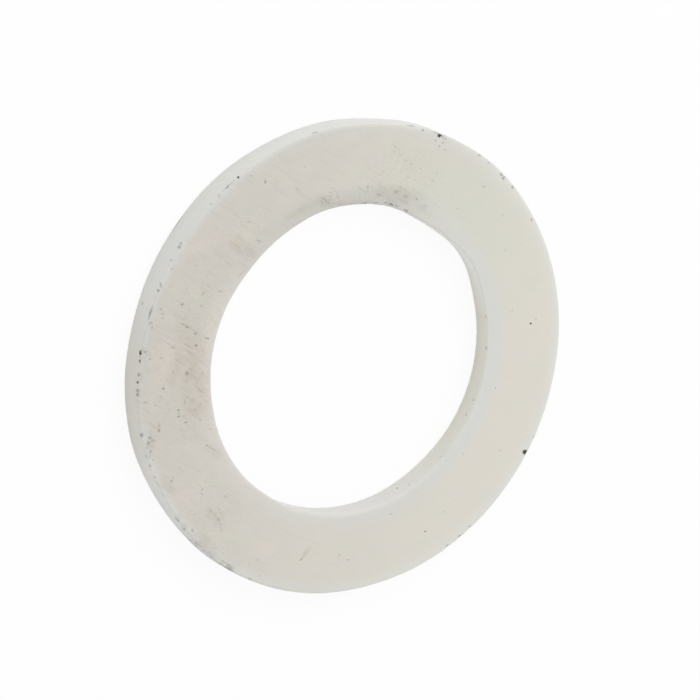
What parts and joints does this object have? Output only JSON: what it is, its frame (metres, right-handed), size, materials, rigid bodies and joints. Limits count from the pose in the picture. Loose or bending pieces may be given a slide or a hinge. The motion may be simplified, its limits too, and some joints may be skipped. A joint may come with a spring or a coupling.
{
  "type": "flat washer",
  "caption": "Flat plastic washer: a thin plain ring with a wide round bore and lightly broken edges, to seat under a nut, bolt head or shaft shoulder.",
  "frame": {"origin": "centre of the bore on the lower face, so that the washer lies on a surface at Z = 0", "axes": "+Z along the bore axis, out of the face that the picture shows; X and Y lie in the face, and any turn about Z is equal"},
  "size_m": [0.05, 0.05, 0.003],
  "materials": {
    "natural_nylon": "sawn and lightly sanded natural nylon, dull, with faint grime in the scratches and along the edges"
  },
  "bodies": {
    "root": {"washer_ring": "natural_nylon"}
  },
  "joints": []
}
